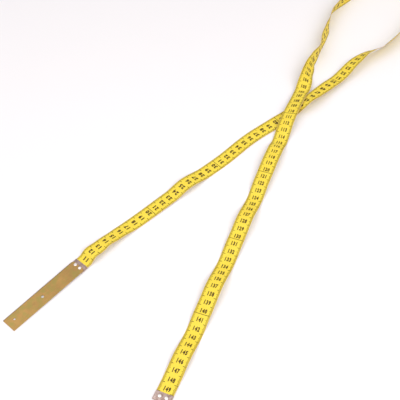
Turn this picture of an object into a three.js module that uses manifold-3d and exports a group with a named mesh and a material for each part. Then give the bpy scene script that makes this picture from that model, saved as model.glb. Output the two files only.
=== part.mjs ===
// Cloth tape measure for sewing: a printed cloth strip with a brass plate on its zero end
// and a clip on its last end. Millimetres, +Z up. It lies on a table as it was dropped: out
// from the plate, up on to its edge, round one loop, and back over itself.
// +X runs along the plate towards the cloth.

import * as THREE from 'three';
import { mergeVertices } from 'three/addons/utils/BufferGeometryUtils.js';
import Module from 'manifold-3d';

const wasm = await Module();
wasm.setup();

// Cloth
const tapeLength = 1500;
const tapeWidth = 18;
const clothThickness = 0.45;

// Brass plate
const plateLength = 95.5;
const plateThickness = 0.8;
const plateCornerRadius = 3;
const plateTipRadius = 0.7;
const hangingHoleDiameter = 2.4;
const hangingHoleFromTip = 9;
const hangingHoleOffset = 1.5;
const middleHoleDiameter = 3.4;
const middleHoleFromTip = 45;

// Sheet clips folded round the two cut ends of the cloth
const clipLength = 9.5;
const clipThickness = 0.3;
const clipShowing = 4.5;
const seatGap = 0.08;

// Tubular rivets, two through each clip
const zeroRivetFromEdge = 6.3;
const endRivetFromEdge = 4.3;
const rivetSpacing = 6.8;
const shankDiameter = 2;
const headDiameter = 3.6;
const headHeight = 0.55;
const footDiameter = 3.2;
const footHeight = 0.35;
const dimpleDiameter = 1.2;
const dimpleDepth = 0.35;
const rivetHoleClearance = 0.1;

// Folds: the line where the cloth bends next to each metal end
const plateFoldFromClip = 3;
const endFoldFromClip = 3.5;
const foldGap = 0.25;
const foldTaperLength = 2.2;
const foldTipThickness = 0.08;

// Where the strip passes over itself
const crossingGap = 0.35;

// Smoothness of turned and rounded shapes, and the sections of the free cloth
const turnedSides = 32;
const cornerSegments = 8;
const domeRings = 5;
const sectionStep = 6;
const walksPerSection = 4;

// How far a cut runs past what it cuts
const overrun = 1;

// The route between the two folds. The first number of each pair is a share of the free length.
// Heading of the strip in degrees, from +X towards +Y
const headingShares = [
  [0, 0], [0.02, -1], [0.045, -6.5], [0.07, -5.5], [0.11, -5], [0.138, -6.5], [0.165, -1],
  [0.193, -9.5], [0.22, -12], [0.24, -10.5], [0.26, -2], [0.28, -4], [0.3, -1], [0.32, -2], [0.34, -20],
  [0.36, -2], [0.38, 3.5], [0.414, 8], [0.444, 50], [0.479, 110], [0.509, 162], [0.539, 183], [0.565, 187.5],
  [0.575, 207], [0.585, 210.5], [0.597, 203.5], [0.61, 201.5], [0.625, 206], [0.64, 192], [0.651, 200.5],
  [0.662, 206], [0.685, 201.5], [0.71, 199.5], [0.74, 202.5], [0.77, 201.5], [0.8, 201.5], [0.85, 201],
  [0.9, 201], [0.955, 200], [1, 199],
];
// Twist about its own length in degrees. Above zero it raises its right-hand edge.
const twistShares = [
  [0, 0], [0.013, 2], [0.024, 12], [0.036, 9], [0.055, 0], [0.22, 0], [0.245, 20], [0.275, 8], [0.295, 11],
  [0.315, 19], [0.335, 36], [0.345, 45], [0.36, 53], [0.39, 65], [0.435, 88], [0.53, 71], [0.565, 106],
  [0.585, 96], [0.597, 78], [0.61, 77], [0.63, 93], [0.645, 75], [0.658, 50], [0.697, -13],
  [0.72, -9], [0.745, 0], [0.78, 4], [0.82, -4], [0.86, 0], [0.9, -3], [0.95, 0],
];
// Height of its waves, as a share of the width
const waveShares = [
  [0, 0], [0.009, 0.25], [0.02, 0.14], [0.034, 0.03], [0.045, 0], [0.09, 0.06], [0.107, 0.26],
  [0.13, 0], [0.2, 0.02], [0.22, 0.07], [0.238, 0.12], [0.25, 0.3], [0.262, 0.28], [0.275, 0.24],
  [0.29, 0.14], [0.315, 0.34], [0.33, 0.26], [0.36, 0], [0.63, 0], [0.645, 0.05], [0.657, 0.05],
  [0.67, 0.2], [0.685, 0.15], [0.7, 0.23], [0.713, 0.31], [0.73, 0.29], [0.752, 0.02], [0.765, 0.3],
  [0.779, 0.36], [0.8, 0.28], [0.82, 0], [0.845, 0.36], [0.865, 0.19], [0.887, 0], [0.913, 0.35],
  [0.935, 0.2], [0.953, 0], [0.973, 0.19], [0.995, 0],
];
// The stretch that lies on the other strand, as shares of the height that clears it
const crossingShares = [[0.67, 0], [0.685, 1], [0.74, 1], [0.775, 0]];
// Where the strip comes down from each metal end to the table, as shares of that end's height
const startHeightShares = [[0, 1], [0.045, 0]];
const endHeightShares = [[0.953, 0], [0.995, 1]];
// Where the strands end and the loop begins
const loopStartShare = 0.359;
const loopEndShare = 0.668;

const clothColour = 0xf2df3a;
const brassColour = 0xbe9756;
const nickelColour = 0xb3a89c;

const materials = {
  cloth: new THREE.MeshStandardMaterial({ color: clothColour, roughness: 0.7, metalness: 0 }),
  brass: new THREE.MeshStandardMaterial({ color: brassColour, roughness: 0.4, metalness: 1 }),
  nickel: new THREE.MeshStandardMaterial({ color: nickelColour, roughness: 0.35, metalness: 1 }),
};

// Heights in the metal ends. A clip's outer faces lie this far from the cloth's middle plane.
const clipHalfHeight = clothThickness / 2 + seatGap + clipThickness;
const clothMiddleBelowPlate = seatGap + clipHalfHeight;
const rivetFootBelowPlate = clothMiddleBelowPlate + clipHalfHeight + footHeight;
const clothMiddleOverTable = footHeight + clipHalfHeight;

// Places along the strip, from the plate's tip
const clipEdge = plateLength + clipShowing;
const rivetPlace = clipEdge - zeroRivetFromEdge;
const plateFoldPlace = clipEdge + plateFoldFromClip;
const endFoldPlace = tapeLength - clipLength - endFoldFromClip;
const freeLength = endFoldPlace - plateFoldPlace;

// The plate leans, because its tip and the rivets' feet rest on the table
const restingPlace = rivetPlace - footDiameter / 2;
const plateLean = Math.atan2(rivetFootBelowPlate, restingPlace);

// Where the plate's fold is once the plate leans about its tip
const plateFoldHeight = plateFoldPlace * Math.sin(plateLean) - clothMiddleBelowPlate * Math.cos(plateLean);
const plateFoldReach = plateFoldPlace * Math.cos(plateLean) + clothMiddleBelowPlate * Math.sin(plateLean);

function toManifold(geometry) {
  const bare = geometry.clone();
  bare.deleteAttribute('normal');
  bare.deleteAttribute('uv');
  const merged = mergeVertices(bare);
  return new wasm.Manifold(new wasm.Mesh({
    numProp: 3,
    vertProperties: new Float32Array(merged.attributes.position.array),
    triVerts: new Uint32Array(merged.index.array),
  }));
}

function fromManifold(solid) {
  const mesh = solid.getMesh();
  const geometry = new THREE.BufferGeometry();
  geometry.setAttribute('position', new THREE.BufferAttribute(new Float32Array(mesh.vertProperties), 3));
  geometry.setIndex(new THREE.BufferAttribute(new Uint32Array(mesh.triVerts), 1));
  geometry.computeVertexNormals();
  return geometry;
}

function addPart(parent, name, geometry, material) {
  const mesh = new THREE.Mesh(geometry, material);
  mesh.name = name;
  parent.add(mesh);
  return mesh;
}

// A side view in X and Z, given as points, extruded to the cloth's width and centred on Y
function sideExtrusion(points) {
  const shape = new THREE.Shape(points.map(([x, z]) => new THREE.Vector2(x, z)));
  const geometry = new THREE.ExtrudeGeometry(shape, { depth: tapeWidth, bevelEnabled: false });
  geometry.rotateX(Math.PI / 2);
  geometry.translate(0, tapeWidth / 2, 0);
  return geometry;
}

// Holes for two rivets, side by side at one place along the cloth
function withRivetHoles(geometry, place) {
  const radius = shankDiameter / 2 + rivetHoleClearance;
  const depth = 2 * (clipHalfHeight + overrun);
  let solid = toManifold(geometry);
  for (const side of [-1, 1]) {
    const drill = new THREE.CylinderGeometry(radius, radius, depth, turnedSides);
    drill.rotateX(Math.PI / 2);
    drill.translate(place, side * rivetSpacing / 2, 0);
    solid = solid.subtract(toManifold(drill));
  }
  return fromManifold(solid);
}

function holePath(x, y, diameter) {
  const path = new THREE.Path();
  path.absarc(x, y, diameter / 2, 0, 2 * Math.PI, true);
  return path;
}

// Outline of the plate seen from above, its tip at the origin, with its four holes
function plateGeometry() {
  const half = tapeWidth / 2;
  const outline = new THREE.Shape();
  outline.moveTo(plateTipRadius, -half);
  outline.lineTo(plateLength - plateCornerRadius, -half);
  outline.absarc(plateLength - plateCornerRadius, -half + plateCornerRadius, plateCornerRadius,
    -Math.PI / 2, 0, false);
  outline.absarc(plateLength - plateCornerRadius, half - plateCornerRadius, plateCornerRadius,
    0, Math.PI / 2, false);
  outline.absarc(plateTipRadius, half - plateTipRadius, plateTipRadius, Math.PI / 2, Math.PI, false);
  outline.absarc(plateTipRadius, -half + plateTipRadius, plateTipRadius, Math.PI, 3 * Math.PI / 2, false);
  outline.holes.push(holePath(hangingHoleFromTip, hangingHoleOffset, hangingHoleDiameter));
  outline.holes.push(holePath(middleHoleFromTip, 0, middleHoleDiameter));
  for (const side of [-1, 1]) {
    outline.holes.push(holePath(rivetPlace, side * rivetSpacing / 2, shankDiameter + 2 * rivetHoleClearance));
  }
  return new THREE.ExtrudeGeometry(outline, {
    depth: plateThickness, bevelEnabled: false, curveSegments: cornerSegments,
  });
}

// Points on the half circle round the back of a clip's fold, from its top to its underside
function foldArc(centre, radius) {
  const points = [];
  for (let step = 0; step <= 2 * cornerSegments; step += 1) {
    const turn = Math.PI / 2 + Math.PI * step / (2 * cornerSegments);
    points.push([centre + radius * Math.cos(turn), radius * Math.sin(turn)]);
  }
  return points;
}

// A sheet folded into a U, open towards +X at the edge. The cloth's middle plane is at z = 0.
function clipGeometry(edge, rivetFromEdge) {
  const outer = clipHalfHeight;
  const inner = clipHalfHeight - clipThickness;
  const centre = edge - clipLength + outer;
  const points = [
    [edge, outer], ...foldArc(centre, outer), [edge, -outer],
    [edge, -inner], ...foldArc(centre, inner).reverse(), [edge, inner],
  ];
  return withRivetHoles(sideExtrusion(points), edge - rivetFromEdge);
}

// The cloth inside a clip and out to the fold, where it thins to an edge so that it can fold either way
function stubGeometry(edge, fold, rivetFromEdge) {
  const half = clothThickness / 2;
  const start = edge - clipLength + clipHalfHeight;
  const tip = fold - foldGap;
  const points = [
    [start, -half], [tip - foldTaperLength, -half], [tip, -foldTipThickness / 2],
    [tip, foldTipThickness / 2], [tip - foldTaperLength, half], [start, half],
  ];
  return withRivetHoles(sideExtrusion(points), edge - rivetFromEdge);
}

// A tubular rivet on the Z axis: a domed head with a dimple above the grip, a flat foot below it
function rivetGeometry(gripBottom, gripTop) {
  const footBottom = gripBottom - footHeight;
  const [footTop, headBottom] = [gripBottom - seatGap, gripTop + seatGap];
  const [foot, shank, head] = [footDiameter / 2, shankDiameter / 2, headDiameter / 2];
  const dimple = dimpleDiameter / 2;
  const profile = [
    [0, footBottom], [foot, footBottom], [foot, footTop],
    [shank, footTop], [shank, headBottom], [head, headBottom],
  ];
  for (let ring = 1; ring <= domeRings; ring += 1) {
    const turn = Math.PI / 2 * ring / domeRings;
    const radius = dimple + (head - dimple) * Math.cos(turn);
    profile.push([radius, headBottom + (headHeight - seatGap) * Math.sin(turn)]);
  }
  profile.push([0, gripTop + headHeight - dimpleDepth]);
  const geometry = new THREE.LatheGeometry(profile.map(([r, z]) => new THREE.Vector2(r, z)), turnedSides);
  geometry.rotateX(Math.PI / 2);
  return geometry;
}

function addRivets(parent, prefix, place, gripBottom, gripTop) {
  for (const [name, side] of [['left', 1], ['right', -1]]) {
    const geometry = rivetGeometry(gripBottom, gripTop);
    geometry.translate(place, side * rivetSpacing / 2, 0);
    addPart(parent, `${prefix}_${name}`, geometry, materials.nickel);
  }
}

function findStep(table, share) {
  let index = 0;
  while (index < table.length - 2 && share > table[index + 1][0]) index += 1;
  return index;
}

// Value of a table with a soft step between each two knots
function eased(table, share) {
  const index = findStep(table, share);
  const [[from, low], [to, high]] = [table[index], table[index + 1]];
  const part = THREE.MathUtils.clamp((share - from) / (to - from), 0, 1);
  return low + (high - low) * part * part * (3 - 2 * part);
}

// Value of a table along one smooth curve through all its knots
function smooth(table, share) {
  const slope = (index) => {
    const before = table[Math.max(index - 1, 0)];
    const here = table[index];
    const after = table[Math.min(index + 1, table.length - 1)];
    const [rise, fall] = [here[1] - before[1], after[1] - here[1]];
    const [left, right] = [here[0] - before[0], after[0] - here[0]];
    if (left === 0) return fall / right;
    if (right === 0) return rise / left;
    return (rise / left * right + fall / right * left) / (left + right);
  };
  const index = findStep(table, share);
  const [[from, low], [to, high]] = [table[index], table[index + 1]];
  const span = to - from;
  const t = (share - from) / span;
  return low * (1 + 2 * t) * (1 - t) ** 2 + high * t * t * (3 - 2 * t)
    + span * (slope(index) * t * (1 - t) ** 2 + slope(index + 1) * t * t * (t - 1));
}

// Height of the strip's middle, which stands half its width over the table where the strip is on its edge
function middleHeight(share) {
  const twist = THREE.MathUtils.degToRad(eased(twistShares, share));
  const atStart = (plateFoldHeight - clothThickness / 2) * eased(startHeightShares, share);
  const atEnd = (clothMiddleOverTable - clothThickness / 2) * eased(endHeightShares, share);
  const wave = tapeWidth * eased(waveShares, share);
  const crossing = (clothThickness + crossingGap) * eased(crossingShares, share);
  return atStart + atEnd + wave + crossing
    + tapeWidth / 2 * Math.abs(Math.sin(twist)) + clothThickness / 2 * Math.abs(Math.cos(twist));
}

// Stations from one fold to the other, each with its middle and the direction across the cloth.
// Each walk covers the same length of cloth, so it goes less far where the cloth rises or falls.
function walkRoute() {
  const walks = Math.round(freeLength / sectionStep) * walksPerSection;
  const walk = freeLength / walks;
  const stations = [];
  const place = new THREE.Vector3(plateFoldReach, 0, 0);
  for (let index = 0; index <= walks; index += 1) {
    const share = index / walks;
    const heading = THREE.MathUtils.degToRad(smooth(headingShares, share));
    const twist = THREE.MathUtils.degToRad(eased(twistShares, share));
    const along = new THREE.Vector3(Math.cos(heading), Math.sin(heading), 0);
    const right = new THREE.Vector3(Math.sin(heading), -Math.cos(heading), 0);
    const across = right.multiplyScalar(Math.cos(twist)).setZ(Math.sin(twist));
    place.z = middleHeight(share);
    if (index % walksPerSection === 0) stations.push({ share, heading, middle: place.clone(), across });
    const rise = middleHeight(Math.min(share + 1 / walks, 1)) - place.z;
    place.addScaledVector(along, Math.sqrt(Math.max(walk ** 2 - rise ** 2, 0)));
  }
  return stations;
}

const stations = walkRoute();
const lastStation = stations[stations.length - 1];
const stationShare = 1 / (stations.length - 1);

// Middle and across direction at any share of the free length, between two of the stations
function placeAt(share) {
  const exact = THREE.MathUtils.clamp(share, 0, 1) / stationShare;
  const index = Math.min(Math.floor(exact), stations.length - 2);
  const [before, after] = [stations[index], stations[index + 1]];
  return {
    middle: before.middle.clone().lerp(after.middle, exact - index),
    across: before.across.clone().lerp(after.across, exact - index),
  };
}

// Four corners of the cloth's section at a share: lower left, lower right, upper right, upper left
function sectionAt(share, thickness) {
  const { middle, across } = placeAt(share);
  const along = placeAt(share + stationShare / 2).middle.sub(placeAt(share - stationShare / 2).middle);
  along.normalize();
  across.addScaledVector(along, -across.dot(along)).normalize();
  const normal = new THREE.Vector3().crossVectors(across, along);
  return [[-1, -1], [1, -1], [1, 1], [-1, 1]].map(([side, face]) => middle.clone()
    .addScaledVector(across, side * tapeWidth / 2)
    .addScaledVector(normal, face * thickness / 2));
}

// A closed strip through sections. Its two faces are split along the same diagonals, so that
// it keeps its thickness where it twists.
function ribbonGeometry(sections) {
  const corners = sections.flat();
  const faces = [[0, 1, 2], [0, 2, 3]];
  for (let index = 0; index < sections.length - 1; index += 1) {
    const first = 4 * index;
    for (let side = 0; side < 4; side += 1) {
      const [a, b] = [first + side, first + (side + 1) % 4];
      if (side === 2) faces.push([a, a + 4, b + 4], [a, b + 4, b]);
      else faces.push([a, a + 4, b], [b, a + 4, b + 4]);
    }
  }
  const last = 4 * (sections.length - 1);
  faces.push([last, last + 2, last + 1], [last, last + 3, last + 2]);
  const geometry = new THREE.BufferGeometry().setFromPoints(corners);
  geometry.setIndex(faces.flat());
  return geometry;
}

// Sections of full thickness at both ends of a stretch and at the stations well between them
function fullSections(from, to) {
  const margin = stationShare / walksPerSection;
  const inner = stations.map((station) => station.share)
    .filter((share) => share > from + margin && share < to - margin);
  return [from, ...inner, to].map((share) => sectionAt(share, clothThickness));
}

// Shares at which the free cloth has its thin edge and its full thickness, counted from either fold
const foldEdgeShare = foldGap / freeLength;
const foldFullShare = (foldGap + foldTaperLength) / freeLength;

function firstStrandGeometry() {
  const edge = sectionAt(foldEdgeShare, foldTipThickness);
  return ribbonGeometry([edge, ...fullSections(foldFullShare, loopStartShare)]);
}

function lastStrandGeometry() {
  const edge = sectionAt(1 - foldEdgeShare, foldTipThickness);
  return ribbonGeometry([...fullSections(loopEndShare, 1 - foldFullShare), edge]);
}

const tapeMeasure = new THREE.Group();

// Zero end: plate, clip, rivets and the cloth's first stretch, leaning together about the plate's tip
const zeroEnd = new THREE.Group();
zeroEnd.rotation.y = -plateLean;
tapeMeasure.add(zeroEnd);
addPart(zeroEnd, 'brass_plate', plateGeometry(), materials.brass);
const zeroClipGeometry = clipGeometry(clipEdge, zeroRivetFromEdge);
const zeroClip = addPart(zeroEnd, 'zero_clip', zeroClipGeometry, materials.nickel);
zeroClip.position.z = -clothMiddleBelowPlate;
const zeroStubGeometry = stubGeometry(clipEdge, plateFoldPlace, zeroRivetFromEdge);
const zeroStub = addPart(zeroEnd, 'tape_zero_end', zeroStubGeometry, materials.cloth);
zeroStub.position.z = -clothMiddleBelowPlate;
addRivets(zeroEnd, 'zero_rivet', rivetPlace, footHeight - rivetFootBelowPlate, plateThickness);

// Free cloth between the folds
const loopGeometry = ribbonGeometry(fullSections(loopStartShare, loopEndShare));
addPart(tapeMeasure, 'tape_strand_a', firstStrandGeometry(), materials.cloth);
addPart(tapeMeasure, 'tape_loop', loopGeometry, materials.cloth);
addPart(tapeMeasure, 'tape_strand_b', lastStrandGeometry(), materials.cloth);

// Last end: clip, rivets and the cloth's last stretch, turned so that +X points back along the cloth
const lastEnd = new THREE.Group();
lastEnd.position.set(lastStation.middle.x, lastStation.middle.y, clothMiddleOverTable);
lastEnd.rotation.z = lastStation.heading + Math.PI;
tapeMeasure.add(lastEnd);
addPart(lastEnd, 'end_clip', clipGeometry(-endFoldFromClip, endRivetFromEdge), materials.nickel);
addPart(lastEnd, 'tape_last_end', stubGeometry(-endFoldFromClip, 0, endRivetFromEdge), materials.cloth);
addRivets(lastEnd, 'end_rivet', -endFoldFromClip - endRivetFromEdge, -clipHalfHeight, clipHalfHeight);

// The whole part stands with the middle of its base at the origin
tapeMeasure.updateMatrixWorld(true);
const box = new THREE.Box3().setFromObject(tapeMeasure, true);
const group = new THREE.Group();
tapeMeasure.position.set(-(box.min.x + box.max.x) / 2, -(box.min.y + box.max.y) / 2, -box.min.z);
group.add(tapeMeasure);

export default group;
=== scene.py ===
"""Blender scene of a cloth tape measure that lies in one open loop on a pale table."""
import math

import bmesh
import bpy
import numpy as np
from mathutils import Matrix, Vector


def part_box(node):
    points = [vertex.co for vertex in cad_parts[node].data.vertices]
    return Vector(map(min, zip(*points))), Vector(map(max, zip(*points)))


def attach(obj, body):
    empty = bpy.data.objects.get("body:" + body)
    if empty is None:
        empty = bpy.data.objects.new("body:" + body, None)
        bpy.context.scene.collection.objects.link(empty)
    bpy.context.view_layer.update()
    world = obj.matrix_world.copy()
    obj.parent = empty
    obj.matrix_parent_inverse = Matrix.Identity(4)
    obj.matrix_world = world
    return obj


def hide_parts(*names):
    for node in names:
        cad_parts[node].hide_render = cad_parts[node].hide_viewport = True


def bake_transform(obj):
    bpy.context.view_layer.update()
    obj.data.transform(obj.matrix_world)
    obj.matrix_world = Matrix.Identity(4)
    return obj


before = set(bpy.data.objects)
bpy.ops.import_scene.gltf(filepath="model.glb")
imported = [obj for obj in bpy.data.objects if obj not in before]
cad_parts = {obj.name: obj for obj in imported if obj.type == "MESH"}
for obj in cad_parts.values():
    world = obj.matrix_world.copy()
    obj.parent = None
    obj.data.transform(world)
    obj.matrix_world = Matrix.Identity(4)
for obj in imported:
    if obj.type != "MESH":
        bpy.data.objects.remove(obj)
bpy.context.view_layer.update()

MM = 0.001

# Cloth, plate, clips and rivets, the same sizes as in the CAD model
TAPE_LENGTH = 1500 * MM
TAPE_WIDTH = 18 * MM
CLOTH_THICKNESS = 0.45 * MM
PLATE_LENGTH = 95.5 * MM
PLATE_THICKNESS = 0.8 * MM
PLATE_CORNER_RADIUS = 3 * MM
PLATE_TIP_RADIUS = 0.7 * MM
HANGING_HOLE_DIAMETER = 2.4 * MM
HANGING_HOLE_FROM_TIP = 9 * MM
HANGING_HOLE_OFFSET = 1.5 * MM
MIDDLE_HOLE_DIAMETER = 3.4 * MM
MIDDLE_HOLE_FROM_TIP = 45 * MM
CLIP_LENGTH = 9.5 * MM
CLIP_THICKNESS = 0.3 * MM
CLIP_SHOWING = 4.5 * MM
SEAT_GAP = 0.08 * MM
ZERO_RIVET_FROM_EDGE = 6.3 * MM
END_RIVET_FROM_EDGE = 4.3 * MM
RIVET_SPACING = 6.8 * MM
SHANK_DIAMETER = 2 * MM
HEAD_DIAMETER = 3.6 * MM
HEAD_HEIGHT = 0.55 * MM
FOOT_DIAMETER = 3.2 * MM
FOOT_HEIGHT = 0.35 * MM
DIMPLE_DIAMETER = 1.2 * MM
DIMPLE_DEPTH = 0.35 * MM
PLATE_FOLD_FROM_CLIP = 3 * MM
END_FOLD_FROM_CLIP = 3.5 * MM
CROSSING_GAP = 0.35 * MM
SECTION_STEP = 6 * MM
WALKS_PER_SECTION = 4

# The route of the free cloth, the same tables as in the CAD model. The first number of each
# pair is a share of the free length.
HEADINGS = (
    (0, 0), (0.02, -1), (0.045, -6.5), (0.07, -5.5), (0.11, -5), (0.138, -6.5), (0.165, -1),
    (0.193, -9.5), (0.22, -12), (0.24, -10.5), (0.26, -2), (0.28, -4), (0.3, -1), (0.32, -2),
    (0.34, -20), (0.36, -2), (0.38, 3.5), (0.414, 8), (0.444, 50), (0.479, 110), (0.509, 162),
    (0.539, 183), (0.565, 187.5), (0.575, 207), (0.585, 210.5), (0.597, 203.5), (0.61, 201.5),
    (0.625, 206), (0.64, 192), (0.651, 200.5), (0.662, 206), (0.685, 201.5), (0.71, 199.5),
    (0.74, 202.5), (0.77, 201.5), (0.8, 201.5), (0.85, 201), (0.9, 201), (0.955, 200), (1, 199),
)
TWISTS = (
    (0, 0), (0.013, 2), (0.024, 12), (0.036, 9), (0.055, 0), (0.22, 0), (0.245, 20), (0.275, 8),
    (0.295, 11), (0.315, 19), (0.335, 36), (0.345, 45), (0.36, 53), (0.39, 65), (0.435, 88),
    (0.53, 71), (0.565, 106), (0.585, 96), (0.597, 78), (0.61, 77), (0.63, 93), (0.645, 75),
    (0.658, 50), (0.697, -13), (0.72, -9), (0.745, 0), (0.78, 4), (0.82, -4), (0.86, 0),
    (0.9, -3), (0.95, 0),
)
WAVES = (
    (0, 0), (0.009, 0.25), (0.02, 0.14), (0.034, 0.03), (0.045, 0), (0.09, 0.06), (0.107, 0.26),
    (0.13, 0), (0.2, 0.02), (0.22, 0.07), (0.238, 0.12), (0.25, 0.3), (0.262, 0.28),
    (0.275, 0.24), (0.29, 0.14), (0.315, 0.34), (0.33, 0.26), (0.36, 0), (0.63, 0),
    (0.645, 0.05), (0.657, 0.05), (0.67, 0.2), (0.685, 0.15), (0.7, 0.23), (0.713, 0.31),
    (0.73, 0.29), (0.752, 0.02), (0.765, 0.3), (0.779, 0.36), (0.8, 0.28), (0.82, 0),
    (0.845, 0.36), (0.865, 0.19), (0.887, 0), (0.913, 0.35), (0.935, 0.2), (0.953, 0),
    (0.973, 0.19), (0.995, 0),
)
CROSSING = ((0.67, 0), (0.685, 1), (0.74, 1), (0.775, 0))
START_HEIGHTS = ((0, 1), (0.045, 0))
END_HEIGHTS = ((0.953, 0), (0.995, 1))

# Heights and places that follow from the sizes
HALF_WIDTH = TAPE_WIDTH / 2
CLIP_HALF_HEIGHT = CLOTH_THICKNESS / 2 + SEAT_GAP + CLIP_THICKNESS
CLOTH_BELOW_PLATE = SEAT_GAP + CLIP_HALF_HEIGHT
FOOT_BELOW_PLATE = CLOTH_BELOW_PLATE + CLIP_HALF_HEIGHT + FOOT_HEIGHT
CLOTH_OVER_TABLE = FOOT_HEIGHT + CLIP_HALF_HEIGHT
CLIP_EDGE = PLATE_LENGTH + CLIP_SHOWING
RIVET_PLACE = CLIP_EDGE - ZERO_RIVET_FROM_EDGE
PLATE_FOLD_PLACE = CLIP_EDGE + PLATE_FOLD_FROM_CLIP
END_FOLD_PLACE = TAPE_LENGTH - CLIP_LENGTH - END_FOLD_FROM_CLIP
FREE_LENGTH = END_FOLD_PLACE - PLATE_FOLD_PLACE
PLATE_LEAN = math.atan2(FOOT_BELOW_PLATE, RIVET_PLACE - FOOT_DIAMETER / 2)
FOLD_HEIGHT = PLATE_FOLD_PLACE * math.sin(PLATE_LEAN) - CLOTH_BELOW_PLATE * math.cos(PLATE_LEAN)
FOLD_REACH = PLATE_FOLD_PLACE * math.cos(PLATE_LEAN) + CLOTH_BELOW_PLATE * math.sin(PLATE_LEAN)

# Where the plate's tip touches the table, in the row frame
plate_low, plate_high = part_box("brass_plate")
TIP = Vector((
    plate_low.x + PLATE_THICKNESS * math.sin(PLATE_LEAN),
    (plate_low.y + plate_high.y) / 2,
    plate_low.z,
))

# Edges, bends and points of the drawn metal
PLATE_ROUNDING = 0.14 * MM
CLIP_ROUNDING = 0.06 * MM
ROUNDING_STEPS = 3
CORNER_STEPS = 8
HOLE_POINTS = 40
BEND_POINTS = 17
RIVET_ROUNDING = 0.08 * MM
RIVET_INSET = 0.3 * RIVET_ROUNDING
RIVET_COLUMNS = 48
HEAD_POINTS = 12
DIMPLE_SHARES = ((0.82, 0.25), (0.66, 0.85), (0, 1))
SHEET_SMOOTH_ANGLE = 40
RIVET_SMOOTH_ANGLE = 50
MERGE_DISTANCE = 0.002 * MM
SAME_DIRECTION = 0.9999

# The cloth is drawn as two strips that meet in the loop
STRIP_JOIN = 750 * MM
SECTION_LENGTH = 1 * MM
TOP_COLUMNS = 13
EDGE_COLUMNS = 3

# Print
PRINT_LIFT = 0.03 * MM
MM_TICK_LENGTH = 2.2 * MM
HALF_TICK_LENGTH = 2.9 * MM
CM_TICK_LENGTH = 3.8 * MM
TICK_WIDTH = 0.38 * MM
CM_TICK_WIDTH = 0.55 * MM
LINE_WIDTH = 0.6 * MM
EDGE_MARGIN = 0.3 * MM
DIGIT_HEIGHT = 5 * MM
NUMBER_WIDTH = 7.8 * MM
NUMBER_BEFORE_LINE = 4 * MM
DIGIT_FILL = 0.92
DIGIT_BOLDNESS = 0.054
DIGIT_CUTS = 5
BAR_COLUMN = 1.5 * MM
FIRST_NUMBER = 11
LAST_NUMBER = 149


def find_step(table, share):
    """Index of the knot before a share."""
    index = 0
    while index < len(table) - 2 and share > table[index + 1][0]:
        index += 1
    return index


def eased(table, share):
    """Value of a table with a soft step between each two knots."""
    index = find_step(table, share)
    (start, low), (end, high) = table[index], table[index + 1]
    part = min(max((share - start) / (end - start), 0), 1)
    return low + (high - low) * part * part * (3 - 2 * part)


def knot_slope(table, index):
    """Slope of the smooth curve at a knot."""
    before = table[max(index - 1, 0)]
    here = table[index]
    after = table[min(index + 1, len(table) - 1)]
    rise, fall = here[1] - before[1], after[1] - here[1]
    left, right = here[0] - before[0], after[0] - here[0]
    if left == 0:
        return fall / right
    if right == 0:
        return rise / left
    return (rise / left * right + fall / right * left) / (left + right)


def smooth(table, share):
    """Value of a table along one smooth curve through all its knots."""
    index = find_step(table, share)
    (start, low), (end, high) = table[index], table[index + 1]
    width = end - start
    part = (share - start) / width
    return (
        low * (1 + 2 * part) * (1 - part) ** 2 + high * part * part * (3 - 2 * part)
        + width * (knot_slope(table, index) * part * (1 - part) ** 2
                   + knot_slope(table, index + 1) * part * part * (part - 1))
    )


def middle_height(share):
    """Height of the cloth's middle line over the table, at a share of the free length."""
    twist = math.radians(eased(TWISTS, share))
    at_start = (FOLD_HEIGHT - CLOTH_THICKNESS / 2) * eased(START_HEIGHTS, share)
    at_end = (CLOTH_OVER_TABLE - CLOTH_THICKNESS / 2) * eased(END_HEIGHTS, share)
    wave = TAPE_WIDTH * eased(WAVES, share)
    crossing = (CLOTH_THICKNESS + CROSSING_GAP) * eased(CROSSING, share)
    on_edge = HALF_WIDTH * abs(math.sin(twist)) + CLOTH_THICKNESS / 2 * abs(math.cos(twist))
    return at_start + at_end + wave + crossing + on_edge


def walk_route():
    """Middles and across directions of the stations, their spacing, and the last heading."""
    walks = round(FREE_LENGTH / SECTION_STEP) * WALKS_PER_SECTION
    walk = FREE_LENGTH / walks
    x, y = FOLD_REACH, 0.0
    middles, acrosses = [], []
    for index in range(walks + 1):
        share = index / walks
        heading = math.radians(smooth(HEADINGS, share))
        twist = math.radians(eased(TWISTS, share))
        height = middle_height(share)
        middles.append((x, y, height))
        acrosses.append((
            math.sin(heading) * math.cos(twist),
            -math.cos(heading) * math.cos(twist),
            math.sin(twist),
        ))
        rise = middle_height(min(share + 1 / walks, 1)) - height
        step = math.sqrt(max(walk ** 2 - rise ** 2, 0))
        x += math.cos(heading) * step
        y += math.sin(heading) * step
    return np.array(middles), np.array(acrosses), walk, heading


route_middles, route_acrosses, WALK, LAST_HEADING = walk_route()
LAST_MIDDLE = route_middles[-1]

# Straight stretches into the two metal ends continue the stations at the same spacing
STRAIGHT_WALKS = 12
plate_along = np.array((math.cos(PLATE_LEAN), 0, math.sin(PLATE_LEAN)))
end_along = np.array((math.cos(LAST_HEADING), math.sin(LAST_HEADING), 0))
backward = WALK * np.arange(STRAIGHT_WALKS, 0, -1)[:, None]
forward = WALK * np.arange(1, STRAIGHT_WALKS + 1)[:, None]
MIDDLES = np.vstack((
    route_middles[0] - backward * plate_along,
    route_middles,
    LAST_MIDDLE + forward * end_along,
))
ACROSSES = np.vstack((
    np.repeat(route_acrosses[:1], STRAIGHT_WALKS, 0),
    route_acrosses,
    np.repeat(route_acrosses[-1:], STRAIGHT_WALKS, 0),
))
FIRST_STATION_PLACE = PLATE_FOLD_PLACE - STRAIGHT_WALKS * WALK


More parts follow.
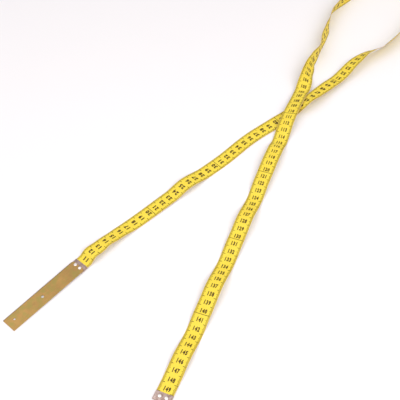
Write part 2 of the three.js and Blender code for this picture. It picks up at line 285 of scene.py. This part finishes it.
def between_stations(values, lengths):
    """Values at lengths of tape from the plate's tip, on a smooth curve through the stations."""
    exact = (np.asarray(lengths) - FIRST_STATION_PLACE) / WALK
    index = np.clip(np.floor(exact).astype(int), 1, len(values) - 3)
    part = (exact - index)[:, None]
    before, here, after, beyond = (values[index + step] for step in (-1, 0, 1, 2))
    return 0.5 * (
        2 * here + (after - before) * part
        + (2 * before - 5 * here + 4 * after - beyond) * part ** 2
        + (3 * here - before - 3 * after + beyond) * part ** 3
    )


def unit(vectors):
    return vectors / np.linalg.norm(vectors, axis=1, keepdims=True)


# Small unevenness of the cloth
CUP_HEIGHT = 0.10 * MM
FLUTTER_HEIGHT = 0.07 * MM
CUP_LENGTH = 41 * MM
CUP_LEVEL = 0.4
CUP_START = 0.7
FLUTTER_LENGTH = 13 * MM
STIFFENED_LENGTH = 15 * MM


def unevenness(lengths, sides):
    """Cupping and flutter of the cloth, which fade out towards both metal ends."""
    across_share = 2 * sides / TAPE_WIDTH
    from_ends = np.minimum(lengths - CLIP_EDGE, TAPE_LENGTH - CLIP_LENGTH - lengths)
    free = np.clip(from_ends / STIFFENED_LENGTH, 0, 1) ** 2
    cup = CUP_HEIGHT * (across_share ** 2 - CUP_LEVEL) * np.sin(lengths / CUP_LENGTH + CUP_START)
    flutter = FLUTTER_HEIGHT * across_share ** 3 * np.sin(lengths / FLUTTER_LENGTH)
    return free * (cup + flutter)


def cloth_points(lengths, sides, heights):
    """Points of the row frame at lengths of tape, with sides and heights from its middle line."""
    lengths, sides, heights = (np.asarray(values, float) for values in (lengths, sides, heights))
    middle = between_stations(MIDDLES, lengths)
    ahead = between_stations(MIDDLES, lengths + WALK / 2)
    behind = between_stations(MIDDLES, lengths - WALK / 2)
    along = unit(ahead - behind)
    across = between_stations(ACROSSES, lengths)
    across = unit(across - along * np.sum(along * across, axis=1, keepdims=True))
    normal = np.cross(across, along)
    raised = heights + unevenness(lengths, sides)
    return middle + across * sides[:, None] + normal * raised[:, None] + np.array(TIP)


def add_object(name, data):
    item = bpy.data.objects.new(name, data)
    bpy.context.scene.collection.objects.link(item)
    return item


def mesh_from_curve(name, curve):
    """Mesh of a curve or a text, which is removed afterwards."""
    item = add_object(name, curve)
    bpy.context.view_layer.update()
    mesh = bpy.data.meshes.new_from_object(item.evaluated_get(bpy.context.evaluated_depsgraph_get()))
    bpy.data.objects.remove(item)
    bpy.data.curves.remove(curve)
    return mesh


def add_mesh(name, points, faces, material, uvs=None):
    mesh = bpy.data.meshes.new(name)
    mesh.from_pydata([tuple(point) for point in points], [], faces)
    mesh.materials.append(material)
    mesh.shade_smooth()
    if uvs is not None:
        layer = mesh.uv_layers.new(name="tape")
        corner_vertices = np.empty(len(mesh.loops), int)
        mesh.loops.foreach_get("vertex_index", corner_vertices)
        layer.data.foreach_set("uv", np.asarray(uvs, np.float32)[corner_vertices].ravel())
    mesh.update()
    return add_object(name, mesh)


# Materials
def new_material(name):
    material = bpy.data.materials.new(name)
    material.use_nodes = True
    tree = material.node_tree
    shader = tree.nodes["Principled BSDF"]
    return material, tree, shader


def add_node(tree, kind, inputs=(), **settings):
    node = tree.nodes.new(kind)
    for key, value in settings.items():
        setattr(node, key, value)
    for key, value in dict(inputs).items():
        if isinstance(value, bpy.types.NodeSocket):
            tree.links.new(value, node.inputs[key])
        else:
            node.inputs[key].default_value = value
    return node


def calculate(tree, operation, first, second=0.0, third=0.0):
    inputs = {0: first, 1: second, 2: third}
    return add_node(tree, "ShaderNodeMath", inputs, operation=operation).outputs[0]


def mix_colours(tree, factor, first, second, blend_type="MIX"):
    node = add_node(tree, "ShaderNodeMix", data_type="RGBA", blend_type=blend_type)
    for socket, value in ((node.inputs[0], factor), (node.inputs[6], first), (node.inputs[7], second)):
        if isinstance(value, bpy.types.NodeSocket):
            tree.links.new(value, socket)
        else:
            socket.default_value = value
    return node.outputs[2]


def noise(tree, vector, scale, detail, roughness=0.55):
    inputs = {"Vector": vector, "Scale": scale, "Detail": detail, "Roughness": roughness}
    return add_node(tree, "ShaderNodeTexNoise", inputs).outputs["Fac"]


def span(tree, value, low, high, new_low, new_high):
    """A value between low and high, moved to between new_low and new_high and kept there."""
    inputs = {"Value": value, "From Min": low, "From Max": high, "To Min": new_low, "To Max": new_high}
    return add_node(tree, "ShaderNodeMapRange", inputs).outputs[0]


def bump(tree, shader, height, strength, distance):
    inputs = {"Height": height, "Strength": strength, "Distance": distance}
    node = add_node(tree, "ShaderNodeBump", inputs)
    tree.links.new(node.outputs[0], shader.inputs["Normal"])


# Looks of the cloth and its ink. Colours are linear, and a noise has its scale per metre.
WEAVE_PITCH = 0.55 * MM
WEAVE_DARKEST = 0.94
STAIN_SCALE = 55.0
STAIN_RANGE = (0.3, 0.7)
SLUB_SCALE = 900.0
SLUB_SHARE = 0.6
CLOTH_CLEAN = (1.0, 0.80, 0.078, 1)
CLOTH_STAINED = (0.98, 0.75, 0.06, 1)
# Darker orange band along both long edges: partly wear of the edges, partly painted shade
CLOTH_BORDER_WEAR_AND_SHADE = (0.64, 0.33, 0.04, 1)
BORDER_WEAR_AND_SHADE_BAND = (HALF_WIDTH - 0.9 * MM, HALF_WIDTH - 0.2 * MM)
BORDER_WEAR_AND_SHADE_STRENGTH = 0.4
CLOTH_CUT = (0.90, 0.72, 0.66, 1)
CUT_BAND = (HALF_WIDTH - 0.2 * MM, HALF_WIDTH - 0.06 * MM)
CUT_STRENGTH = 0.9
CLOTH_ROUGHNESS = (0.5, 0.62)
CLOTH_GLOW = (0.95, 0.55, 0.02, 1)
GLOW_SHARE = 0.12
INK_FULL = (0.035, 0.012, 0.002, 1)
INK_WORN = (0.25, 0.11, 0.004, 1)
INK_WEAR_SCALE = 1300.0
INK_WEAR_RANGE = (0.1, 0.5)
INK_WEAVE_SHARE = -0.35
INK_WEAR_LIMIT = 0.2


def weave_height(tree, uv):
    """Height of a plain weave over the strip's own length and width, from 0 to 1."""
    parts = add_node(tree, "ShaderNodeSeparateXYZ", {"Vector": uv})
    turns = [calculate(tree, "MULTIPLY", parts.outputs[axis], math.pi / WEAVE_PITCH) for axis in (0, 1)]
    waves = [calculate(tree, "SINE", turn) for turn in turns]
    over_under = calculate(tree, "MULTIPLY", waves[0], waves[1])
    return calculate(tree, "MULTIPLY_ADD", over_under, 0.5, 0.5), parts


def cloth_material():
    material, tree, shader = new_material("coated_cloth")
    uv = add_node(tree, "ShaderNodeUVMap", uv_map="tape").outputs[0]
    weave, parts = weave_height(tree, uv)
    stains = noise(tree, uv, STAIN_SCALE, detail=4.0)
    slubs = noise(tree, uv, SLUB_SCALE, detail=2.0)
    stained = span(tree, stains, *STAIN_RANGE, 0, 1)
    base = mix_colours(tree, stained, CLOTH_CLEAN, CLOTH_STAINED)
    shade = span(tree, weave, 0, 1, WEAVE_DARKEST, 1.0)
    grey = add_node(tree, "ShaderNodeCombineXYZ", {0: shade, 1: shade, 2: shade}).outputs[0]
    shaded = mix_colours(tree, 1.0, base, grey, "MULTIPLY")
    from_middle = calculate(tree, "ABSOLUTE", parts.outputs[1])
    # Both long edges are darkened: partly edge wear, partly painted shade
    border_wear_and_shade = span(tree, from_middle, *BORDER_WEAR_AND_SHADE_BAND, 0, BORDER_WEAR_AND_SHADE_STRENGTH)
    with_worn_shaded_border = mix_colours(tree, border_wear_and_shade, shaded, CLOTH_BORDER_WEAR_AND_SHADE)
    cut = span(tree, from_middle, *CUT_BAND, 0, CUT_STRENGTH)
    coloured = mix_colours(tree, cut, with_worn_shaded_border, CLOTH_CUT)
    tree.links.new(coloured, shader.inputs["Base Color"])
    tree.links.new(span(tree, stains, *STAIN_RANGE, *CLOTH_ROUGHNESS), shader.inputs["Roughness"])
    shader.inputs["Specular IOR Level"].default_value = 0.35
    shader.inputs["Sheen Weight"].default_value = 0.08
    relief = calculate(tree, "MULTIPLY_ADD", slubs, SLUB_SHARE, weave)
    bump(tree, shader, relief, strength=0.35, distance=0.03 * MM)
    glow = add_node(tree, "ShaderNodeBsdfTranslucent", {"Color": CLOTH_GLOW})
    mixed = add_node(tree, "ShaderNodeMixShader", {
        0: GLOW_SHARE, 1: shader.outputs[0], 2: glow.outputs[0]})
    tree.links.new(mixed.outputs[0], tree.nodes["Material Output"].inputs["Surface"])
    return material


def ink_material():
    material, tree, shader = new_material("printing_ink")
    uv = add_node(tree, "ShaderNodeUVMap", uv_map="tape").outputs[0]
    weave, _ = weave_height(tree, uv)
    patchy = noise(tree, uv, INK_WEAR_SCALE, detail=3.0)
    wear = calculate(tree, "MULTIPLY_ADD", weave, INK_WEAVE_SHARE, patchy)
    worn = span(tree, wear, *INK_WEAR_RANGE, 0, INK_WEAR_LIMIT)
    colour = mix_colours(tree, worn, INK_FULL, INK_WORN)
    tree.links.new(colour, shader.inputs["Base Color"])
    shader.inputs["Roughness"].default_value = 0.55
    shader.inputs["Specular IOR Level"].default_value = 0.3
    bump(tree, shader, weave, strength=0.3, distance=0.02 * MM)
    return material


# Looks of the metals
MARK_SCALE = 900.0
GRAIN_SCALE = 2600.0
MARK_SHARE = 0.45
PATCH_SHARE = 0.6
CLOUD_RATIO = 1.8
TONE_RANGE = (0.35, 0.7)
CLOUD_RANGE = (0.45, 0.62)
CLOUD_STRENGTH = 0.8
GRAIN_SHARE = 0.4
# Painted shadow along a metal part's left edge, the side away from the key lamp
PAINTED_SHADOW_COLOUR = (0.10, 0.08, 0.07, 1)
PAINTED_SHADOW_BAND = (HALF_WIDTH - 1.1 * MM, HALF_WIDTH - 0.3 * MM)


def metal_material(name, bright, dull, tarnish, roughness, brushing, patch_scale, left_edge_shadow):
    """Metal with patches, marks longer along an axis whose brushing is under 1, and a painted shadow
    along its left edge.
    """
    material, tree, shader = new_material(name)
    place = add_node(tree, "ShaderNodeTexCoord").outputs["Object"]
    stretched = add_node(tree, "ShaderNodeMapping", {"Vector": place, "Scale": brushing}).outputs[0]
    patches = noise(tree, place, patch_scale, detail=5.0, roughness=0.6)
    clouds = noise(tree, place, CLOUD_RATIO * patch_scale, detail=2.0)
    marks = noise(tree, stretched, MARK_SCALE, detail=4.0, roughness=0.65)
    grains = noise(tree, place, GRAIN_SCALE, detail=2.0)
    patchy = calculate(tree, "MULTIPLY", patches, PATCH_SHARE)
    tone = calculate(tree, "MULTIPLY_ADD", marks, MARK_SHARE, patchy)
    clean = mix_colours(tree, span(tree, tone, *TONE_RANGE, 0, 1), bright, dull)
    cloudy = span(tree, clouds, *CLOUD_RANGE, 0, CLOUD_STRENGTH)
    tarnished = mix_colours(tree, cloudy, clean, tarnish)
    # A painted shadow darkens the band along the left edge
    parts = add_node(tree, "ShaderNodeSeparateXYZ", {"Vector": place})
    to_left = calculate(tree, "SUBTRACT", parts.outputs[1], TIP.y)
    edge = span(tree, to_left, *PAINTED_SHADOW_BAND, 0, left_edge_shadow)
    colour = mix_colours(tree, edge, tarnished, PAINTED_SHADOW_COLOUR)
    tree.links.new(colour, shader.inputs["Base Color"])
    shader.inputs["Metallic"].default_value = 1.0
    tree.links.new(span(tree, tone, *TONE_RANGE, *roughness), shader.inputs["Roughness"])
    relief = calculate(tree, "MULTIPLY_ADD", grains, GRAIN_SHARE, marks)
    bump(tree, shader, relief, strength=0.25, distance=0.02 * MM)
    return material


def table_material():
    material, tree, shader = new_material("pale_table")
    place = add_node(tree, "ShaderNodeTexCoord").outputs["Object"]
    cloudy = noise(tree, place, scale=6.0, detail=2.0)
    colour = mix_colours(tree, cloudy, (0.91, 0.886, 0.896, 1), (0.925, 0.9, 0.911, 1))
    tree.links.new(colour, shader.inputs["Base Color"])
    shader.inputs["Roughness"].default_value = 0.7
    shader.inputs["Specular IOR Level"].default_value = 0.2
    relief = noise(tree, place, scale=700.0, detail=2.0)
    bump(tree, shader, relief, strength=0.05, distance=0.05 * MM)
    return material


cloth = cloth_material()
ink = ink_material()
brass = metal_material(
    "satin_brass", bright=(0.57, 0.34, 0.115, 1), dull=(0.44, 0.275, 0.10, 1),
    tarnish=(0.42, 0.33, 0.10, 1), roughness=(0.38, 0.5), brushing=(0.3, 1, 1),
    patch_scale=85.0, left_edge_shadow=0.8)
nickel = metal_material(
    "dull_nickel", bright=(0.67, 0.53, 0.49, 1), dull=(0.30, 0.20, 0.165, 1),
    tarnish=(0.34, 0.23, 0.19, 1), roughness=(0.28, 0.42), brushing=(1, 0.5, 1),
    patch_scale=220.0, left_edge_shadow=0.0)
rivet_metal = metal_material(
    "bright_nickel", bright=(1.0, 0.97, 0.96, 1), dull=(0.95, 0.9, 0.88, 1),
    tarnish=(0.95, 0.9, 0.86, 1), roughness=(0.3, 0.42), brushing=(1, 1, 1),
    patch_scale=220.0, left_edge_shadow=0.0)


# Cloth strips
def ring_profile():
    """Sides and heights of the points round the cloth's section, seen along its length."""
    radius = CLOTH_THICKNESS / 2
    inner = HALF_WIDTH - radius
    flat = np.linspace(-inner, inner, TOP_COLUMNS)
    turns = np.pi * np.arange(1, EDGE_COLUMNS + 1) / (EDGE_COLUMNS + 1)
    right = [(inner + radius * math.sin(turn), radius * math.cos(turn)) for turn in turns]
    left = [(-inner - radius * math.sin(turn), -radius * math.cos(turn)) for turn in turns]
    top = [(side, radius) for side in flat]
    bottom = [(side, -radius) for side in flat[::-1]]
    return np.array(top + right + bottom + left)


def cloth_strip(name, start, end):
    """A closed strip of the cloth between two lengths of tape."""
    ring = ring_profile()
    count = len(ring)
    rows = round((end - start) / SECTION_LENGTH) + 1
    lengths = np.repeat(np.linspace(start, end, rows), count)
    sides = np.tile(ring[:, 0], rows)
    heights = np.tile(ring[:, 1], rows)
    points = cloth_points(lengths, sides, heights)
    faces = []
    for row in range(rows - 1):
        first = row * count
        for column in range(count):
            following = (column + 1) % count
            faces.append((
                first + column, first + following, first + count + following, first + count + column))
    faces.append(tuple(range(count))[::-1])
    faces.append(tuple((rows - 1) * count + column for column in range(count)))
    strip = add_mesh(name, points, faces, cloth, np.column_stack((lengths, sides)))
    return strip


# Printed scale
class Print:
    """Collects thin printed patches of one strip as places on the tape."""

    def __init__(self, start, end):
        self.start, self.end = start, end
        self.lengths, self.sides, self.heights, self.faces = [], [], [], []

    def add(self, lengths, sides, faces, side_up):
        """side_up is 1 for the front and -1 for the back, where the faces turn the other way."""
        first = len(self.lengths)
        self.lengths.extend(lengths)
        self.sides.extend(sides)
        self.heights.extend([side_up * (CLOTH_THICKNESS / 2 + PRINT_LIFT)] * len(lengths))
        for face in faces:
            shifted = tuple(first + corner for corner in face)
            self.faces.append(shifted if side_up > 0 else shifted[::-1])

    def bar(self, place, width, side_from, side_to, side_up):
        """A straight mark across the tape, at a place along it."""
        columns = max(2, math.ceil(abs(side_to - side_from) / BAR_COLUMN) + 1)
        sides = np.linspace(side_from, side_to, columns)
        lengths = [place - width / 2] * columns + [place + width / 2] * columns
        faces = [
            (column, column + 1, column + 1 + columns, column + columns)
            for column in range(columns - 1)
        ]
        self.add(lengths, list(sides) * 2, faces, side_up)

    def build(self, name):
        points = cloth_points(self.lengths, self.sides, self.heights)
        return add_mesh(name, points, self.faces, ink, np.column_stack((self.lengths, self.sides)))


def digit_shapes():
    """Points, faces and width of the ten digits, flat, one unit high, their middles at the origin."""
    shapes = []
    for digit in range(10):
        text = bpy.data.curves.new(f"digit_{digit}", "FONT")
        text.body = str(digit)
        text.resolution_u = 3
        text.offset = DIGIT_BOLDNESS
        mesh = mesh_from_curve(f"digit_{digit}", text)
        shape = bmesh.new()
        shape.from_mesh(mesh)
        bmesh.ops.triangulate(shape, faces=shape.faces)
        low = Vector(min(vertex.co[axis] for vertex in shape.verts) for axis in range(2))
        high = Vector(max(vertex.co[axis] for vertex in shape.verts) for axis in range(2))
        for axis in range(2):
            for part in range(1, DIGIT_CUTS):
                place = low.lerp(high, part / DIGIT_CUTS)
                direction = Vector((axis == 0, axis == 1, 0))
                bmesh.ops.bisect_plane(
                    shape, geom=shape.verts[:] + shape.edges[:] + shape.faces[:],
                    plane_co=(place.x, place.y, 0), plane_no=direction)
        shape.verts.index_update()
        middle = (low + high) / 2
        size = high - low
        points = [
            ((vertex.co.x - middle.x) / size.y, (vertex.co.y - middle.y) / size.y)
            for vertex in shape.verts
        ]
        faces = [tuple(vertex.index for vertex in face.verts) for face in shape.faces]
        shapes.append((np.array(points), faces, size.x / size.y))
        shape.free()
        bpy.data.meshes.remove(mesh)
    return shapes


DIGITS = digit_shapes()
WIDEST_DIGIT = max(shape[2] for shape in DIGITS)


def add_number(scale, number, middle, side_up):
    """A number across the tape at its middle, the tops of its digits towards the plate."""
    text = str(number)
    pitch = NUMBER_WIDTH / len(text)
    stretch = pitch * DIGIT_FILL / WIDEST_DIGIT
    for index, digit in enumerate(text):
        points, faces, _ = DIGITS[int(digit)]
        reading = points[:, 0] * stretch + (index - (len(text) - 1) / 2) * pitch
        lengths = middle - points[:, 1] * DIGIT_HEIGHT
        scale.add(list(lengths), list(-side_up * reading), faces, side_up)


def add_scale(scale):
    """Marks and numbers on both faces of one strip."""
    half = HALF_WIDTH - EDGE_MARGIN
    for side_up in (1, -1):
        for tick in range(math.ceil(scale.start / MM), math.floor(scale.end / MM) + 1):
            place = tick * MM
            if place <= CLIP_EDGE or place >= TAPE_LENGTH - CLIP_LENGTH:
                continue
            if tick % 100 == 0:
                scale.bar(place, LINE_WIDTH, -half, half, side_up)
                continue
            length, width = MM_TICK_LENGTH, TICK_WIDTH
            if tick % 10 == 0:
                length, width = CM_TICK_LENGTH, CM_TICK_WIDTH
            elif tick % 5 == 0:
                length = HALF_TICK_LENGTH
            scale.bar(place, width, -half, -half + length, side_up)
            scale.bar(place, width, half - length, half, side_up)
        for number in range(FIRST_NUMBER, LAST_NUMBER + 1):
            middle = number * 10 * MM - NUMBER_BEFORE_LINE
            if scale.start < middle < scale.end:
                add_number(scale, number, middle, side_up)


first_start = CLIP_EDGE - CLIP_LENGTH + CLIP_HALF_HEIGHT
last_end = TAPE_LENGTH - CLIP_HALF_HEIGHT
first_strip = cloth_strip("cloth_first_half", first_start, STRIP_JOIN)
last_strip = cloth_strip("cloth_last_half", STRIP_JOIN, last_end)
first_scale = Print(first_start, STRIP_JOIN)
last_scale = Print(STRIP_JOIN, last_end)
add_scale(first_scale)
add_scale(last_scale)
first_print = first_scale.build("print_first_half")
last_print = last_scale.build("print_last_half")


for piece in (first_strip, first_print):
    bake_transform(piece)
for piece in (last_strip, last_print):
    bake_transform(piece)
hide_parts("tape_zero_end", "tape_strand_a", "tape_loop")
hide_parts("tape_strand_b", "tape_last_end")


# Metal ends
def rounded_outline(corners):
    """Points of a closed outline from (middle x, middle y, radius, first angle) of each corner."""
    points = []
    for x, y, radius, start in corners:
        for step in range(CORNER_STEPS + 1):
            turn = start + math.pi / 2 * step / CORNER_STEPS
            points.append((x + radius * math.cos(turn), y + radius * math.sin(turn)))
    return points


def hole_outline(x, y, diameter):
    """Points of a round hole, which turn the other way than those of an edge."""
    return [
        (x + diameter / 2 * math.cos(-turn), y + diameter / 2 * math.sin(-turn))
        for turn in np.linspace(0, 2 * math.pi, HOLE_POINTS, endpoint=False)
    ]


def sheet_metal(name, outlines, thickness, rounding, material, placed):
    """Flat metal with rounded edges from closed outlines, the first its edge, the rest its holes."""
    curve = bpy.data.curves.new(name, "CURVE")
    curve.dimensions = "2D"
    curve.fill_mode = "BOTH"
    curve.extrude = thickness / 2 - rounding
    curve.bevel_depth = rounding
    curve.bevel_resolution = ROUNDING_STEPS
    curve.offset = -rounding
    for outline in outlines:
        spline = curve.splines.new("POLY")
        spline.points.add(len(outline) - 1)
        spline.points.foreach_set("co", np.array([(x, y, 0, 1) for x, y in outline]).ravel())
        spline.use_cyclic_u = True
    mesh = mesh_from_curve(name, curve)
    mesh.transform(placed)
    mesh.materials.clear()
    mesh.materials.append(material)
    return add_object(name, mesh)


def smooth_by_angle(item, degrees, flat):
    """Smooth shading, sharp at joins steeper than the angle and round faces square to flat."""
    shape = bmesh.new()
    shape.from_mesh(item.data)
    bmesh.ops.remove_doubles(shape, verts=shape.verts, dist=MERGE_DISTANCE)
    shape.normal_update()
    for face in shape.faces:
        face.smooth = True
    for edge in shape.edges:
        level = [abs(face.normal.dot(flat)) > SAME_DIRECTION for face in edge.link_faces]
        gentle = len(level) == 2 and edge.calc_face_angle(0) < math.radians(degrees)
        edge.smooth = gentle and level[0] == level[1]
    shape.to_mesh(item.data)
    shape.free()


def plate_outlines():
    """Edge and holes of the plate, measured from its tip."""
    tip, corner = PLATE_TIP_RADIUS, PLATE_CORNER_RADIUS
    edge = rounded_outline((
        (tip, -HALF_WIDTH + tip, tip, math.pi),
        (PLATE_LENGTH - corner, -HALF_WIDTH + corner, corner, 1.5 * math.pi),
        (PLATE_LENGTH - corner, HALF_WIDTH - corner, corner, 0),
        (tip, HALF_WIDTH - tip, tip, math.pi / 2),
    ))
    return [
        edge,
        hole_outline(HANGING_HOLE_FROM_TIP, HANGING_HOLE_OFFSET, HANGING_HOLE_DIAMETER),
        hole_outline(MIDDLE_HOLE_FROM_TIP, 0, MIDDLE_HOLE_DIAMETER),
    ]


def clip_outline(edge):
    """Side view of a folded clip that is open at the edge."""
    outer = CLIP_HALF_HEIGHT
    inner = CLIP_HALF_HEIGHT - CLIP_THICKNESS
    centre = edge - CLIP_LENGTH + outer
    turns = np.linspace(math.pi / 2, 1.5 * math.pi, BEND_POINTS)
    outside = [(centre + outer * math.cos(turn), outer * math.sin(turn)) for turn in turns]
    inside = [(centre + inner * math.cos(turn), inner * math.sin(turn)) for turn in turns[::-1]]
    return [[(edge, outer), *outside, (edge, -outer), (edge, -inner), *inside, (edge, inner)]]


def clip(name, edge, placed):
    """A clip of nickel sheet folded round the cloth, as wide as the tape."""
    stood = placed @ Matrix.Rotation(math.pi / 2, 4, "X")
    item = sheet_metal(name, clip_outline(edge), TAPE_WIDTH, CLIP_ROUNDING, nickel, stood)
    smooth_by_angle(item, SHEET_SMOOTH_ANGLE, stood.col[2].xyz)
    return item


def rivet(name, place, side, grip_bottom, grip_top, placed):
    """A tubular rivet: rolled head with a dimple over the grip, flat foot below it."""
    foot_bottom = grip_bottom - FOOT_HEIGHT
    foot_top, head_bottom = grip_bottom - SEAT_GAP, grip_top + SEAT_GAP
    foot, shank, head = FOOT_DIAMETER / 2, SHANK_DIAMETER / 2, HEAD_DIAMETER / 2
    dimple = DIMPLE_DIAMETER / 2
    top = grip_top + HEAD_HEIGHT
    profile = [
        (0, foot_bottom), (foot - RIVET_ROUNDING, foot_bottom),
        (foot - RIVET_INSET, foot_bottom + RIVET_INSET), (foot, foot_bottom + RIVET_ROUNDING),
        (foot, foot_top), (shank, foot_top), (shank, head_bottom), (head - RIVET_INSET, head_bottom),
    ]
    rim = head_bottom + RIVET_INSET
    for turn in np.linspace(0, math.pi / 2, HEAD_POINTS):
        profile.append((dimple + (head - dimple) * math.cos(turn), rim + (top - rim) * math.sin(turn)))
    for radius_share, depth_share in DIMPLE_SHARES:
        profile.append((dimple * radius_share, top - depth_share * DIMPLE_DEPTH))
    points, faces = [], []
    for radius, height in profile:
        for turn in np.linspace(0, 2 * math.pi, RIVET_COLUMNS, endpoint=False):
            points.append((place + radius * math.cos(turn), side + radius * math.sin(turn), height))
    for row in range(len(profile) - 1):
        for column in range(RIVET_COLUMNS):
            following = (column + 1) % RIVET_COLUMNS
            here, beside = row * RIVET_COLUMNS + column, row * RIVET_COLUMNS + following
            faces.append((here, beside, beside + RIVET_COLUMNS, here + RIVET_COLUMNS))
    item = add_mesh(name, [placed @ Vector(point) for point in points], faces, rivet_metal)
    smooth_by_angle(item, RIVET_SMOOTH_ANGLE, placed.col[2].xyz)
    return item


at_plate = Matrix.Translation(TIP) @ Matrix.Rotation(-PLATE_LEAN, 4, "Y")
at_zero_clip = at_plate @ Matrix.Translation((0, 0, -CLOTH_BELOW_PLATE))
end_place = TIP + Vector((LAST_MIDDLE[0], LAST_MIDDLE[1], CLOTH_OVER_TABLE))
at_end = Matrix.Translation(end_place) @ Matrix.Rotation(LAST_HEADING + math.pi, 4, "Z")

plate_middle = at_plate @ Matrix.Translation((0, 0, PLATE_THICKNESS / 2))
plate = sheet_metal(
    "plate_of_brass", plate_outlines(), PLATE_THICKNESS, PLATE_ROUNDING, brass, plate_middle)
smooth_by_angle(plate, SHEET_SMOOTH_ANGLE, plate_middle.col[2].xyz)
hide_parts("brass_plate")
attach(plate, "plate")

zero_clip = clip("clip_at_zero", CLIP_EDGE, at_zero_clip)
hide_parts("zero_clip")
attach(zero_clip, "plate")
end_clip = clip("clip_at_end", -END_FOLD_FROM_CLIP, at_end)
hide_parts("end_clip")
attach(end_clip, "end_tab")

for name, direction in (("left", 1), ("right", -1)):
    side = direction * RIVET_SPACING / 2
    zero_rivet = rivet(f"rivet_zero_{name}", RIVET_PLACE, side, FOOT_HEIGHT - FOOT_BELOW_PLATE,
                       PLATE_THICKNESS, at_plate)
    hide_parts(f"zero_rivet_{name}")
    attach(zero_rivet, "plate")
    end_rivet = rivet(f"rivet_end_{name}", -END_FOLD_FROM_CLIP - END_RIVET_FROM_EDGE, side,
                      -CLIP_HALF_HEIGHT, CLIP_HALF_HEIGHT, at_end)
    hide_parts(f"end_rivet_{name}")
    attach(end_rivet, "end_tab")

# Table
TABLE_SIZE = 8.0
TABLE_DEPTH = 0.05 * MM
half_table = TABLE_SIZE / 2
table_corners = [
    (-half_table, -half_table, -TABLE_DEPTH), (half_table, -half_table, -TABLE_DEPTH),
    (half_table, half_table, -TABLE_DEPTH), (-half_table, half_table, -TABLE_DEPTH),
]
table = add_mesh("table_top", table_corners, [(0, 1, 2, 3)], table_material())

# Camera. Its place and direction come from the printed numbers seen in the photo. The focal
# length and the picture's width are in the photo's pixels, and the sensor's in millimetres.
FOCAL_LENGTH = 803.0
PICTURE_WIDTH = 400
SENSOR_WIDTH = 36.0
CAMERA_ELEVATION = math.radians(49.65)
CAMERA_YAW = math.radians(43.38)
CAMERA_ROLL = math.radians(5.43)
TIP_FROM_CAMERA = (-203.0 * MM, 439.1 * MM)
CAMERA_HEIGHT = 683.4 * MM
NEAREST_SEEN = 10 * MM

from_camera = Matrix.Rotation(-CAMERA_YAW, 3, "Z")
camera_right = from_camera @ Vector((1, 0, 0))
camera_ahead = from_camera @ Vector((0, 1, 0))
looking = camera_ahead * math.cos(CAMERA_ELEVATION) - Vector((0, 0, math.sin(CAMERA_ELEVATION)))
upward = camera_ahead * math.sin(CAMERA_ELEVATION) + Vector((0, 0, math.cos(CAMERA_ELEVATION)))
rolled_right = camera_right * math.cos(CAMERA_ROLL) - upward * math.sin(CAMERA_ROLL)
rolled_up = camera_right * math.sin(CAMERA_ROLL) + upward * math.cos(CAMERA_ROLL)
camera_place = Vector((TIP.x, TIP.y, 0)) - camera_right * TIP_FROM_CAMERA[0]
camera_place = camera_place - camera_ahead * TIP_FROM_CAMERA[1] + Vector((0, 0, CAMERA_HEIGHT))

camera_data = bpy.data.cameras.new("camera")
camera_data.sensor_width = SENSOR_WIDTH
camera_data.lens = SENSOR_WIDTH * FOCAL_LENGTH / PICTURE_WIDTH
camera_data.clip_start = NEAREST_SEEN
camera = add_object("camera", camera_data)
turned = Matrix((rolled_right, rolled_up, -looking)).transposed().to_4x4()
camera.matrix_world = Matrix.Translation(camera_place) @ turned
bpy.context.scene.camera = camera


# Light: a broad soft lamp from the picture's lower right, one from its left, and pale surroundings
def add_lamp(name, right, ahead, height, size, power, colour):
    """A round lamp that faces the middle of the frame."""
    data = bpy.data.lights.new(name, "AREA")
    data.shape = "DISK"
    data.size = size
    data.energy = power
    data.color = colour
    place = camera_right * right + camera_ahead * ahead + Vector((0, 0, height))
    towards_middle = (-place).to_track_quat("-Z", "Y").to_matrix().to_4x4()
    add_object(name, data).matrix_world = Matrix.Translation(place) @ towards_middle


add_lamp("key_lamp", right=0.5, ahead=-0.85, height=1.05, size=1.4, power=12.3,
         colour=(1.0, 0.99, 0.98))
add_lamp("fill_lamp", right=-0.8, ahead=-0.1, height=1.4, size=1.8, power=8.5,
         colour=(1.0, 0.985, 1.0))

# The surroundings give more light from above than from the sides, and look white to the camera
SKY_HEIGHTS = (0.05, 0.6)
SKY_STRENGTHS = (0.12, 0.68)

world = bpy.data.worlds.new("surroundings")
bpy.context.scene.world = world
world.use_nodes = True
world_tree = world.node_tree
light_path = add_node(world_tree, "ShaderNodeLightPath")
sky_direction = add_node(world_tree, "ShaderNodeTexCoord").outputs["Generated"]
upwards = add_node(world_tree, "ShaderNodeSeparateXYZ", {"Vector": sky_direction}).outputs[2]
brightness = span(world_tree, upwards, *SKY_HEIGHTS, *SKY_STRENGTHS)
around = add_node(world_tree, "ShaderNodeBackground", {
    "Color": (1, 0.985, 0.99, 1), "Strength": brightness})
seen = add_node(world_tree, "ShaderNodeBackground", {"Color": (1, 1, 1, 1), "Strength": 1.0})
either = add_node(world_tree, "ShaderNodeMixShader", {
    0: light_path.outputs["Is Camera Ray"], 1: around.outputs[0], 2: seen.outputs[0]})
world_tree.links.new(either.outputs[0], world_tree.nodes["World Output"].inputs["Surface"])

bpy.context.scene.view_settings.view_transform = "Standard"
